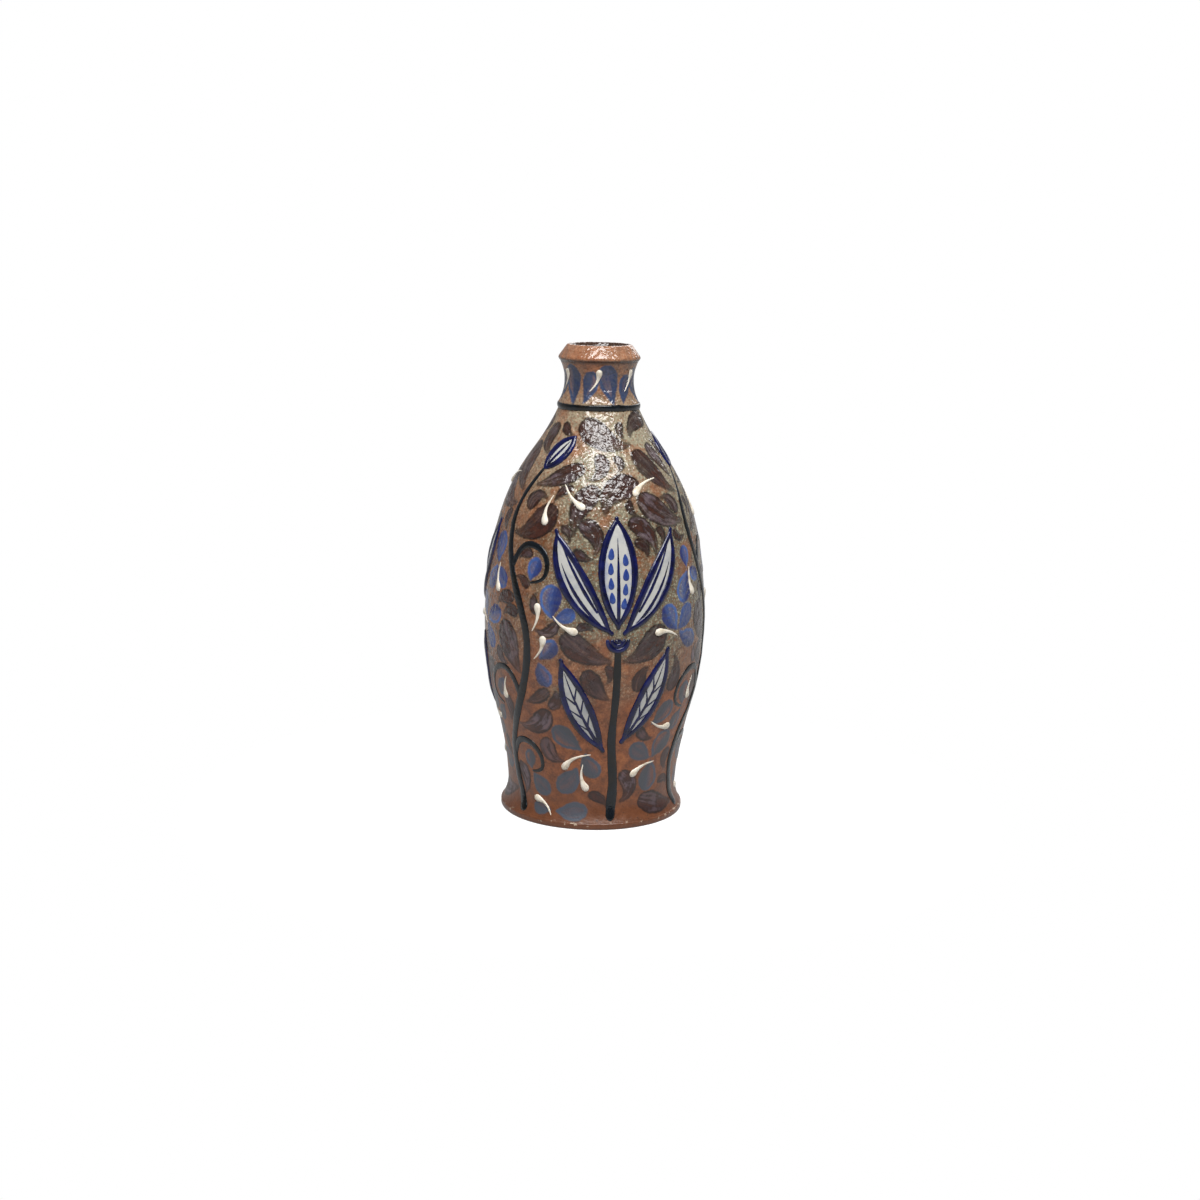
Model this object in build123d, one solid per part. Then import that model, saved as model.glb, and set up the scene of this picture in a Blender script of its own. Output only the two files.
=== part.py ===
from build123d import *
import os
from math import ceil

# A hand-painted stoneware bottle with one neck: four clay pieces, luted together,
# and the raised slip and enamel that are trailed on the wall.
# +Z is up, the origin is the middle of the foot, and -Y is the front.

# Clay body, millimetres: outside radii from the foot up, and the height gained between them
foot_radius = 35.5
foot_edge_height = 2.7
waist_radius = 32.8
flare_length = 8.8
rise_radius = 37.6
rise_length = 28.5
belly_radius = 42.4
lower_belly_length = 37.0
shoulder_radius = 37.1
upper_belly_length = 38.0
slope_radius = 24.8
shoulder_length = 25.0
neck_root_radius = 15.2
crown_length = 16.0

# Neck and lip
neck_waist_radius = 13.0
neck_waist_length = 10.5
neck_length = 18.0
lip_seat_radius = 14.9
lip_ridge_radius = 15.7
lip_ridge_length = 1.0
rim_outer_radius = 12.2
rim_inner_radius = 11.2
lip_length = 6.0
bore_radius = 10.0
rim_bevel = 1.6
ridge_round = 0.35

# Heights above the table
waist_height = foot_edge_height + flare_length
rise_height = waist_height + rise_length
belly_height = rise_height + lower_belly_length
shoulder_height = belly_height + upper_belly_length
slope_height = shoulder_height + shoulder_length
neck_root_height = slope_height + crown_length
neck_waist_height = neck_root_height + neck_waist_length
lip_seat_height = neck_root_height + neck_length
lip_ridge_height = lip_seat_height + lip_ridge_length
rim_height = lip_seat_height + lip_length

# Clay thickness, the foot's turned recess and the luted joint under the wall
wall = 4.5
base_thickness = 6.0
foot_ring_width = 7.0
foot_recess_depth = 1.2
foot_bevel = 0.5
joint_gap = 0.15

# Height of each kind of trailed decoration above the clay, and the film of glaze under it
glaze_film = 0.08
band_rise = 0.45
vine_rise = 0.35
enamel_rise = 0.3
outline_rise = 0.6
comma_rise = 0.7

# Widths of the brush and of the trailing nozzle
band_width = 2.3
vine_width = 3.4
tendril_width = 2.6
vine_tip_width = 0.9
outline_width = 2.4

# The same painting goes round three times, each time a blossom and the vine to its left
sides = ("front", "right", "left")
front_turn = 12.0
vine_turn = -60.0
ring_spacing = 4.5

# Blossom, drawn flat as seen from outside: x to the right, y up from the top of its stem
blossom_height = 76.0
middle_petal = ((0, 3), (7.4, 22), (0, 44))
side_petal_outer = ((1.8, 1), (17.5, 12), (21.5, 39))
side_petal_inner = ((1.8, 1), (10.0, 20), (21.5, 39))
leaf_gap = 1.2
leaf_foot = (vine_width / 2 + leaf_gap, -42)
leaf_outer = (leaf_foot, (17.0, -28), (20.5, -5))
leaf_inner = (leaf_foot, (8.0, -24), (20.5, -5))
left_leaf_drop = 3.5
calyx_half = 4.5
calyx_drop = 5.0
stem_spine = ((1.0, -58), (-0.3, -42), (0, -24))
vine_foot_gap = 0.7
vine_start = foot_edge_height + vine_foot_gap

# Vine between two blossoms, drawn the same way, with y measured from the foot
main_vine = ((-6.5, 24), (3.5, 50), (8.5, 75), (-1.0, 99), (-5.0, 118), (1.8, 134))
tendrils = (
    ((-6.5, 24), (-0.5, 32), (7.5, 29), (8.0, 21.5), (3.5, 20.0)),
    ((3.5, 50), (-3.0, 60), (-12.5, 57), (-13.5, 48), (-8.0, 45)),
    ((-1.0, 99), (5.0, 108), (13.5, 105), (14.0, 96.5), (9.0, 94.5)),
)
bud_place = (5.0, 141.0)
bud_half_length = 7.0
bud_half_width = 4.2
bud_lean = -28.0

# White commas: place of the round head, way that the tail points, length
comma_head = 1.35
comma_tip = 0.35
comma_bend = 0.5
comma_waist = 0.42
comma_sway = 0.22
vine_commas = (
    (5.5, 9.5, -100, 8.0),
    (17.5, 24.0, -30, 9.0),
    (-14.5, 38.5, 95, 8.0),
    (-5.5, 49.0, 15, 7.0),
    (15.5, 74.0, 180, 8.0),
    (13.0, 86.0, -165, 8.5),
    (-8.5, 90.0, 30, 8.5),
    (10.5, 117.0, 25, 8.5),
)
blossom_commas = (
    (9.0, -55.0, -40, 8.5),
    (-9.0, -60.0, 35, 8.5),
    (16.0, 1.0, -80, 8.0),
    (-16.0, 2.0, 80, 8.0),
    (8.0, 52.0, -35, 8.5),
    (-12.5, 47.0, 60, 8.0),
)
neck_comma_count = 6
neck_comma_drop = 3.8
neck_comma_head = 1.1
neck_comma_length = 7.0


def filled(*edges):
    """A flat face inside edges that follow one another."""
    return make_face(list(edges))


def beside(curve, share, distance):
    """The point at a share of a curve, moved square to it, to the right as the curve runs."""
    point = curve @ share
    along = curve % share
    return (point.X + along.Y * distance, point.Y - along.X * distance)


def moved_out(arc, distance):
    """The arc that runs beside another at an even distance."""
    return ThreePointArc(*(beside(arc, share, distance) for share in (0, 0.5, 1)))


def wall_arcs():
    """The outside of the body from the foot's edge to the neck, as arcs that run into one another."""
    belly = ThreePointArc(
        (rise_radius, rise_height), (belly_radius, belly_height), (shoulder_radius, shoulder_height))
    rise = TangentArc(belly @ 0, (waist_radius, waist_height), tangent=-(belly % 0))
    flare = TangentArc(rise @ 1, (foot_radius - foot_bevel, foot_edge_height), tangent=rise % 1)
    shoulder = TangentArc(belly @ 1, (slope_radius, slope_height), tangent=belly % 1)
    crown = TangentArc(shoulder @ 1, (neck_root_radius, neck_root_height), tangent=shoulder % 1)
    return [flare.reversed(), rise.reversed(), belly, shoulder, crown]


def spun(flat_face):
    """A radius-height face turned all round the bottle's axis."""
    return revolve(Plane.XZ * flat_face, Axis.Z)


def foot_disc():
    """The base slab: its rim shows below the wall, and a boss inside centres the wall."""
    boss_radius = waist_radius - wall - joint_gap
    ring_radius = foot_radius - foot_ring_width
    slab = Polyline(
        (0, foot_recess_depth),
        (ring_radius - foot_recess_depth, foot_recess_depth),
        (ring_radius, 0),
        (foot_radius, 0),
        (foot_radius, foot_edge_height),
        (boss_radius, foot_edge_height),
        (boss_radius, base_thickness),
        (0, base_thickness),
        close=True,
    )
    face = make_face(slab)
    rim = face.vertices().sort_by(Axis.X)[-2:]
    return spun(chamfer(rim, foot_bevel))


def body_wall():
    """Belly and shoulder, one hollow thrown wall that stands on the slab."""
    outer = wall_arcs()
    inner_foot = (waist_radius - wall, foot_edge_height)
    inner_neck = (bore_radius, neck_root_height)
    inner = [moved_out(arc, -wall) for arc in outer[1:4]]
    neck_hollow = TangentArc(inner[-1] @ 1, inner_neck, tangent=inner[-1] % 1)
    return spun(filled(
        *outer,
        Line(outer[-1] @ 1, inner_neck),
        neck_hollow,
        *inner,
        Line(inner[0] @ 0, inner_foot),
        Line(inner_foot, outer[0] @ 0),
    ))


def neck_curve():
    """The waisted outside of the neck, above the straight stretch that carries the band."""
    return ThreePointArc(
        (neck_root_radius, neck_root_height + band_width),
        (neck_waist_radius, neck_waist_height),
        (lip_seat_radius, lip_seat_height),
    )


def neck_collar():
    """The waisted neck, luted on the shoulder."""
    return spun(filled(
        Line((bore_radius, neck_root_height), (neck_root_radius, neck_root_height)),
        Line((neck_root_radius, neck_root_height), (neck_root_radius, neck_root_height + band_width)),
        neck_curve(),
        Line((lip_seat_radius, lip_seat_height), (bore_radius, lip_seat_height)),
        Line((bore_radius, lip_seat_height), (bore_radius, neck_root_height)),
    ))


def lip_ring():
    """The bevelled lip on top of the neck."""
    section = Polyline(
        (bore_radius, lip_seat_height),
        (lip_seat_radius, lip_seat_height),
        (lip_ridge_radius, lip_ridge_height),
        (rim_outer_radius, rim_height),
        (rim_inner_radius, rim_height),
        (bore_radius, rim_height - rim_bevel),
        close=True,
    )
    face = make_face(section)
    ridge = face.vertices().sort_by(Axis.X)[-1]
    return spun(fillet(ridge, ridge_round))


def neck_band():
    """The dark slip band that covers the joint of neck and shoulder."""
    band = Polyline(
        (neck_root_radius, neck_root_height),
        (neck_root_radius + band_rise, neck_root_height + band_rise),
        (neck_root_radius + band_rise, neck_root_height + band_width - band_rise),
        (neck_root_radius, neck_root_height + band_width),
        close=True,
    )
    return spun(make_face(band))


def swollen(arcs, distance):
    """The clay's outside moved out evenly, as one smooth form through rings taken along its arcs."""
    rings = []
    for arc in arcs:
        count = ceil(arc.length / ring_spacing)
        rings += [beside(arc, i / count, distance) for i in range(count)]
    rings.append(beside(arcs[-1], 1, distance))
    return loft([Pos(0, 0, height) * Circle(radius) for radius, height in rings])


def coat(arcs, rise):
    """A coat of even thickness over the glazed clay."""
    return swollen(arcs, glaze_film + rise) - swollen(arcs, glaze_film)


def laid(drawing, layer, turn, height):
    """Trailed slip: the part of a coat that a flat drawing covers when it is pressed on the clay."""
    reach = 2 * belly_radius
    inside_the_bore = -bore_radius / 2
    place = Rot(Z=turn) * Pos(0, inside_the_bore, height)
    seam_behind = Rot(Z=turn + 90) * layer
    return [seam_behind & (place * extrude(Plane.XZ * face, reach)) for face in drawing.faces()]


def ribbon(points, start_width, end_width):
    """A brush line along the points, tapering evenly from one width to the other."""
    spine = Spline(*points)
    stations = 2 * len(points)
    left, right = [], []
    for i in range(stations + 1):
        share = i / stations
        half = (start_width + (end_width - start_width) * share) / 2
        left.append(beside(spine, share, -half))
        right.append(beside(spine, share, half))
    return filled(
        Spline(*left),
        Line(left[-1], right[-1]),
        Spline(*reversed(right)),
        Line(right[0], left[0]),
    )


def comma(length, head):
    """A trailed comma: a round head at the origin and a tail that bends as it thins."""
    tip_x = comma_bend * length
    tip_half = comma_tip / 2
    left_tip = (tip_x - tip_half, length)
    right_tip = (tip_x + tip_half, length)
    middle = length / 2
    sway = comma_sway * tip_x
    neck_half = comma_waist * head
    return filled(
        ThreePointArc((head, 0), (0, -head), (-head, 0)),
        ThreePointArc((-head, 0), (sway - neck_half, middle), left_tip),
        Line(left_tip, right_tip),
        ThreePointArc(right_tip, (sway + neck_half, middle), (head, 0)),
    )


def lens(first, second):
    """A petal or leaf between two arcs that share their ends."""
    return filled(ThreePointArc(*first), ThreePointArc(*second))


def flipped(points):
    """The points mirrored left to right."""
    return [(-x, y) for x, y in points]


def blossom_fields():
    """Three petals and two leaves, as flat faces out to the edge of their outlines."""
    right_leaf = lens(leaf_outer, leaf_inner)
    left_leaf = lens(flipped(leaf_outer), flipped(leaf_inner))
    return [
        lens(middle_petal, flipped(middle_petal)),
        lens(side_petal_outer, side_petal_inner),
        lens(flipped(side_petal_outer), flipped(side_petal_inner)),
        right_leaf,
        Pos(0, -left_leaf_drop) * left_leaf,
    ]


def bud_field():
    """The bud at the end of a vine."""
    edge = ((0, -bud_half_length), (bud_half_width, 0), (0, bud_half_length))
    return Pos(*bud_place) * (Rot(Z=bud_lean) * lens(edge, flipped(edge)))


def calyx():
    """The cup under the petals."""
    cup = ThreePointArc((-calyx_half, 0), (0, -calyx_drop), (calyx_half, 0))
    return filled(cup, Line(cup @ 1, cup @ 0))


def trailed(marks, head):
    """Commas at their places, each turned its own way."""
    return Sketch() + [Pos(x, y) * (Rot(Z=way) * comma(length, head)) for x, y, way, length in marks]


def painted_side():
    """One blossom and the vine to its left: stem, vine, enamel, outline and commas."""
    clay = wall_arcs()
    vine_coat, enamel_coat, outline_coat, comma_coat = (
        coat(clay, rise) for rise in (vine_rise, enamel_rise, outline_rise, comma_rise))
    stem_foot = (0, vine_start - blossom_height)
    stem_top = (0, -calyx_drop - joint_gap)
    stem = ribbon([stem_foot, *stem_spine, stem_top], vine_width, tendril_width)
    vine = Sketch() + ribbon([(0, vine_start), *main_vine], vine_width, vine_tip_width)
    vine += [ribbon(spine, tendril_width, vine_tip_width) for spine in tendrils]
    fields = blossom_fields()
    enamel = Sketch() + [offset(field, -outline_width) for field in fields]
    lines = Sketch() + fields + calyx() - enamel
    bud = bud_field()
    bud_enamel = offset(bud, -outline_width)
    return {
        "stem": laid(stem, vine_coat, 0, blossom_height),
        "vine": laid(vine, vine_coat, vine_turn, 0),
        "enamel": laid(enamel, enamel_coat, 0, blossom_height)
        + laid(bud_enamel, enamel_coat, vine_turn, 0),
        "outline": laid(lines, outline_coat, 0, blossom_height)
        + laid(bud - bud_enamel, outline_coat, vine_turn, 0),
        "commas": laid(trailed(blossom_commas, comma_head), comma_coat, 0, blossom_height)
        + laid(trailed(vine_commas, comma_head), comma_coat, vine_turn, 0),
    }


def neck_commas():
    """The commas round the neck, heads up."""
    layer = coat([neck_curve()], comma_rise)
    mark = trailed([(0, 0, 180, neck_comma_length)], neck_comma_head)
    step = 360 / neck_comma_count
    height = lip_seat_height - neck_comma_drop
    return [piece for i in range(neck_comma_count) for piece in laid(mark, layer, i * step, height)]


def build():
    """Every node of the bottle, by name."""
    parts = {
        "foot_disc": foot_disc(),
        "body_wall": body_wall(),
        "neck_collar": neck_collar(),
        "lip_ring": lip_ring(),
        "neck_band": neck_band(),
        "neck_commas": Compound(neck_commas()),
    }
    painted = painted_side()
    for i, side in enumerate(sides):
        turn = Rot(Z=front_turn + i * 360 / len(sides))
        for kind, pieces in painted.items():
            parts[f"{side}_{kind}"] = Compound([turn * piece for piece in pieces])
    return parts


os.makedirs("parts", exist_ok=True)
for node, solid in build().items():
    export_step(solid, f"parts/{node}.step")
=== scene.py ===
import itertools
import math
import bpy
import numpy as np
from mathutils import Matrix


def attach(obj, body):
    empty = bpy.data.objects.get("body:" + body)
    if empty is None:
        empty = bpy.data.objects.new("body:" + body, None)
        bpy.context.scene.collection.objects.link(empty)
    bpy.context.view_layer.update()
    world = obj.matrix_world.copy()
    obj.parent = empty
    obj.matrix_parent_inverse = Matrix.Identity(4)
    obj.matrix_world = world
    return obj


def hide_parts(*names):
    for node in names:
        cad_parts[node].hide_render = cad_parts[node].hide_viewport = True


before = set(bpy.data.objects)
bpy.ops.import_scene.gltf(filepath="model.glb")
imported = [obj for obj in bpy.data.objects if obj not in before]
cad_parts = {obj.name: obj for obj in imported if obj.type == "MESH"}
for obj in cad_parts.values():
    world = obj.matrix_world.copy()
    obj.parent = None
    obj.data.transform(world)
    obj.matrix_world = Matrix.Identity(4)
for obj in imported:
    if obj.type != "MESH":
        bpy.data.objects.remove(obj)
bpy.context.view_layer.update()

# Foot slab: the disc that the bottle stands on, cut from iron-rich stoneware on the wheel.
# A shallow recess turned in its underside leaves a ring to stand on, and a boss on top
# centres the wall, which is luted to the rim with slip.
MM = 0.001
foot_radius, foot_edge_height, foot_edge_round = 35.5, 2.7, 0.9
foot_ring_width, foot_recess_depth = 7.0, 1.2
boss_radius, base_thickness = 28.15, 6.0
recess_round, ring_round, seat_round, boss_round = 0.8, 0.5, 0.2, 0.6
wheel_steps = 360
sharp_edge = math.radians(40)
weld_gap = 0.01
ring_depth, ring_spacing, ring_reach = 0.25, 5.0, 40.0
sway, sway_reach = 0.9, 45.0


def linear(code):
    """A colour's sRGB hex code as the linear values that a shader takes."""
    shares = [int(code[i:i + 2], 16) / 255 for i in (1, 3, 5)]
    return [s / 12.92 if s <= 0.04045 else ((s + 0.055) / 1.055) ** 2.4 for s in shares] + [1.0]


def add(tree, kind, feeds=(), **settings):
    """One node with its settings. Its feeds, by name or in order, are values, nodes or sockets."""
    node = tree.nodes.new(kind)
    for name, value in settings.items():
        setattr(node, name, value)
    for key, value in feeds.items() if isinstance(feeds, dict) else enumerate(feeds):
        if isinstance(key, int):
            socket = node.inputs[key]
        else:
            socket = next(s for s in node.inputs if s.enabled and s.name == key)
        if isinstance(value, bpy.types.Node):
            value = next(s for s in value.outputs if s.enabled)
        if isinstance(value, bpy.types.NodeSocket):
            tree.links.new(value, socket)
        else:
            socket.default_value = value
    return node


def new_tree(name, takes, gives):
    """An empty Geometry Nodes tree with its named inputs and outputs."""
    tree = bpy.data.node_groups.new(name, "GeometryNodeTree")
    for way, sockets in (("INPUT", takes), ("OUTPUT", gives)):
        for label, kind in sockets.items():
            tree.interface.new_socket(label, in_out=way, socket_type="NodeSocket" + kind)
    return tree


def store(mesh, name, values):
    """Values kept on a mesh's points by name, a number or a vector for each."""
    values = np.array(values, np.float32)
    kind, field = ("FLOAT_VECTOR", "vector") if values.ndim == 2 else ("FLOAT", "value")
    mesh.attributes.new(name, kind, "POINT").data.foreach_set(field, values.ravel())


def drawn(places, edges=(), faces=(), **stored):
    """A mesh from places in mm, with values stored on its points."""
    mesh = bpy.data.meshes.new("drawing")
    mesh.from_pydata((np.array(places) * MM).tolist(), edges, faces)
    for name, values in stored.items():
        store(mesh, name, values)
    return mesh


def shaped(tree, name, start, values, node):
    """A piece of the one body: the mesh that a tree makes from a starting mesh and named values."""
    values = {"Ring Depth": ring_depth * MM, "Sway": sway * MM, **values}
    piece = bpy.data.objects.new(name, start)
    bpy.context.scene.collection.objects.link(piece)
    modifier = piece.modifiers.new(tree.name, "NODES")
    modifier.node_group = tree
    for socket in tree.interface.items_tree:
        if socket.in_out == "INPUT" and socket.name in values:
            modifier[socket.identifier] = values[socket.name]
    depsgraph = bpy.context.evaluated_depsgraph_get()
    piece.data = bpy.data.meshes.new_from_object(piece.evaluated_get(depsgraph), depsgraph=depsgraph)
    piece.modifiers.clear()
    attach(piece, "root")
    if node:
        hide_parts(node)
    return piece


# The potter's hand: throwing rings and a slow sway of the wall, outwards from the axis.
# They depend on the place alone, so that all that lies on the wall goes with it.
hand_takes = {"Ring Depth": "Float", "Sway": "Float"}
hand = new_tree("hand_of_the_potter", hand_takes, {"Offset": "Vector"})
given = add(hand, "NodeGroupInput")
place = add(hand, "GeometryNodeInputPosition")
level = add(hand, "ShaderNodeVectorMath", (place, (1, 1, 0)), operation="MULTIPLY")
outward = add(hand, "ShaderNodeVectorMath", (level,), operation="NORMALIZE")
push = 0.0
for what, sizes, detail in (("Ring Depth", (ring_reach, ring_reach, ring_spacing), 1.0),
                            ("Sway", (sway_reach, sway_reach, sway_reach), 0.0)):
    scale = [1 / (size * MM) for size in sizes]
    scaled = add(hand, "ShaderNodeVectorMath", (place, scale), operation="MULTIPLY")
    waves = add(hand, "ShaderNodeTexNoise", {"Vector": scaled, "Scale": 1.0, "Detail": detail})
    wave = add(hand, "ShaderNodeMath", (waves, 0.5), operation="SUBTRACT")
    push = add(hand, "ShaderNodeMath", (wave, given.outputs[what], push), operation="MULTIPLY_ADD")
moved = add(hand, "ShaderNodeVectorMath", {0: outward, "Scale": push}, operation="SCALE")
add(hand, "NodeGroupOutput", {"Offset": moved})


def coated(tree, given, shape, corner_angle=None):
    """The end of a tree: the potter's hand, smooth faces but for sharp corners, and the coat."""
    hand_values = {key: given.outputs[key] for key in hand_takes}
    touch = add(tree, "GeometryNodeGroup", hand_values, node_tree=hand)
    laid = add(tree, "GeometryNodeSetPosition", {"Geometry": shape, "Offset": touch})
    smooth = add(tree, "GeometryNodeSetShadeSmooth", {"Geometry": laid})
    if corner_angle:
        edge_angle = add(tree, "GeometryNodeInputMeshEdgeAngle").outputs["Unsigned Angle"]
        corners = add(tree, "FunctionNodeCompare", {"A": edge_angle, "B": corner_angle},
                      operation="GREATER_THAN")
        smooth = add(tree, "GeometryNodeSetShadeSmooth",
                     {"Geometry": smooth, "Selection": corners, "Shade Smooth": False}, domain="EDGE")
    solid = add(tree, "GeometryNodeRealizeInstances", {"Geometry": smooth})
    fired = add(tree, "GeometryNodeSetMaterial", {"Geometry": solid, "Material": given.outputs["Coat"]})
    add(tree, "NodeGroupOutput", {"Geometry": fired})


# The wheel turns a section all round: a grid whose columns go round the axis and whose rows
# take the section's points, closed at its seam and at the axis.
piece_takes = {"Geometry": "Geometry", **hand_takes, "Coat": "Material"}
piece_gives = {"Geometry": "Geometry"}
wheel = new_tree("thrown_on_the_wheel", {**piece_takes, "Steps": "Int"}, piece_gives)
given = add(wheel, "NodeGroupInput")
section = given.outputs["Geometry"]
rows = add(wheel, "GeometryNodeAttributeDomainSize", {"Geometry": section})
columns = add(wheel, "ShaderNodeMath", (given.outputs["Steps"], 1.0))
last_row = add(wheel, "ShaderNodeMath", (rows, 1.0), operation="SUBTRACT")
grid = add(wheel, "GeometryNodeMeshGrid",
           {"Size X": 1.0, "Size Y": 1.0, "Vertices X": columns, "Vertices Y": rows})
on_grid = add(wheel, "ShaderNodeSeparateXYZ", (add(wheel, "GeometryNodeInputPosition"),))
turned = add(wheel, "ShaderNodeMapRange",
             {"Value": on_grid.outputs["X"], "From Min": -0.5, "From Max": 0.5, "To Max": 2 * math.pi})
row = add(wheel, "ShaderNodeMapRange",
          {"Value": on_grid.outputs["Y"], "From Min": -0.5, "From Max": 0.5, "To Max": last_row})
row_number = add(wheel, "FunctionNodeFloatToInt", {"Float": row}, rounding_mode="ROUND")
own_place = add(wheel, "GeometryNodeInputPosition")
on_section = add(wheel, "GeometryNodeSampleIndex",
                 {"Geometry": section, "Value": own_place, "Index": row_number},
                 data_type="FLOAT_VECTOR", domain="POINT")
round_place = add(wheel, "ShaderNodeVectorRotate", {"Vector": on_section, "Angle": turned},
                  rotation_type="Z_AXIS")
spun = add(wheel, "GeometryNodeSetPosition", {"Geometry": grid, "Position": round_place})
closed = add(wheel, "GeometryNodeMergeByDistance", {"Geometry": spun, "Distance": weld_gap * MM})
coated(wheel, given, closed, sharp_edge)

# Glazed stoneware: iron-red clay under a thin ash glaze that breaks to rust where it runs thin,
# as it does low on the wall, on the lip and in patches. Fired in a wood flame, it is grainy, with
# dark iron specks, glossy and pitted like orange peel above and more satin below.
# The brushed washes are part of the glaze, and are read from the wall's own attributes, in mm.
rust_dark, rust, rust_bright, copper = map(linear, ("#5d351e", "#884f2e", "#aa683d", "#a6694b"))
ash_dark, ash_pale, ash_sand, ash_grain = map(linear, ("#4a4435", "#837d68", "#b3aa91", "#844a29"))
# The dark speck colour is real iron specks and also painted shade inside the mouth and under the lip's
# ridge; the pale edge colour is wear and also a painted highlight on the foot's edge.
iron_speck_and_shade, pale_wear_and_highlight, bare_clay = map(linear, ("#241913", "#cdbba2", "#84593f"))
leaf_rim, leaf_brown, leaf_red, leaf_haze = map(linear, ("#140a09", "#271514", "#4a271f", "#6b5c65"))
petal_deep, petal_pale = map(linear, ("#112668", "#4067ab"))
petal_grey, petal_slate = map(linear, ("#474d4c", "#2c3a4a"))
ash_line, ash_fade, ash_wander = 62.0, 16.0, 70.0
edge_depth, wash_edge, wash_ragged = 1.0, 0.38, 0.8
wash_values = ("depth", "tone", "along", "across")
brush_hairs = (2.6, 1.1, 40.0)
load_swing, load_start, load_reach, streak_share = 3.0, -1.05, 0.6, 0.7
core_start, core_end = 1.2, 2.4
pit_depth, wash_depth = 0.08, 0.05
mottle_matt, clay_matt = 0.12, 0.45

stoneware = bpy.data.materials.new("ash_glazed_stoneware")
stoneware.use_nodes = True
tree = stoneware.node_tree
shader = tree.nodes["Principled BSDF"]
shader.inputs["IOR"].default_value = 1.55
here = add(tree, "ShaderNodeTexCoord").outputs["Object"]
place = add(tree, "ShaderNodeSeparateXYZ", (here,))
sideways, height = place.outputs["X"], place.outputs["Z"]
level = add(tree, "ShaderNodeVectorMath", (here, (1, 1, 0)), operation="MULTIPLY")
from_axis = add(tree, "ShaderNodeVectorMath", (level,), operation="LENGTH").outputs["Value"]
facing = add(tree, "ShaderNodeSeparateXYZ", (add(tree, "ShaderNodeNewGeometry").outputs["Normal"],))

# The glaze's patterns: the size of each in mm, and its noise's detail and roughness
noise = {}
for name, size, detail, roughness in (
        ("drift", 28.0, 2.0, 0.5), ("patch", 16.0, 3.0, 0.6), ("cloud", 5.0, 3.0, 0.6),
        ("mottle", 3.2, 4.0, 0.65), ("speck", 1.6, 3.0, 0.75), ("grain", 0.85, 2.0, 0.7),
        ("ragged", 1.7, 2.0, 0.5), ("rub", 1.8, 3.0, 0.5), ("peel", 2.0, 1.5, 0.5),
        ("pit", 0.8, 1.0, 0.5)):
    noise[name] = add(tree, "ShaderNodeTexNoise", {
        "Vector": here, "Scale": 1 / (size * MM), "Detail": detail, "Roughness": roughness})
drift = add(tree, "ShaderNodeMath", (noise["drift"], 0.5), operation="SUBTRACT")
drifted = add(tree, "ShaderNodeMath", (drift, ash_wander * MM, height), operation="MULTIPLY_ADD")
ash_start, ash_full = ash_line - ash_fade, ash_line + ash_fade
above = add(tree, "ShaderNodeMapRange",
            {"Value": drifted, "From Min": ash_start * MM, "From Max": ash_full * MM},
            interpolation_type="SMOOTHSTEP")

# The washes: a dab's depth in mm from a set value at its edge, its tone, and the way along and across
ragged = add(tree, "ShaderNodeMath", (noise["ragged"], 0.5), operation="SUBTRACT")
leaf, petal = {}, {}
for kind, wash in (("leaf", leaf), ("petal", petal)):
    for what in wash_values:
        wash[what] = add(tree, "ShaderNodeAttribute", attribute_name=f"{kind}_{what}").outputs["Fac"]
    wash["inside"] = add(tree, "ShaderNodeMath", (ragged, wash_ragged, wash["depth"]),
                         operation="MULTIPLY_ADD")
    stroke = add(tree, "ShaderNodeCombineXYZ",
                 {"X": wash["across"], "Y": wash["along"], "Z": wash["tone"]})
    hairs = add(tree, "ShaderNodeVectorMath", (stroke, brush_hairs), operation="MULTIPLY")
    wash["streak"] = add(tree, "ShaderNodeTexNoise",
                         {"Vector": hairs, "Scale": 1.0, "Detail": 3.0, "Roughness": 0.6})
patchy = add(tree, "ShaderNodeMath", (noise["cloud"], leaf["streak"]), operation="ADD")

# A petal is loaded on one side of the brush and thin on the other, which its tone decides
heavy_side = add(tree, "ShaderNodeMath", (petal["tone"], load_swing, load_start),
                 operation="MULTIPLY_ADD")
to_thin_side = add(tree, "ShaderNodeMath", (petal["across"], heavy_side), operation="MULTIPLY")
brush_thin = add(tree, "ShaderNodeMapRange",
                 {"Value": to_thin_side, "From Min": -load_reach, "From Max": load_reach})
thinness = add(tree, "ShaderNodeMath", (petal["streak"], streak_share, brush_thin),
               operation="MULTIPLY_ADD")
petal_core = add(tree, "ShaderNodeMapRange",
                 {"Value": petal["inside"], "From Min": core_start, "From Max": core_end})
core_thin = add(tree, "ShaderNodeMath", (petal_core, thinness), operation="MULTIPLY")

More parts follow.
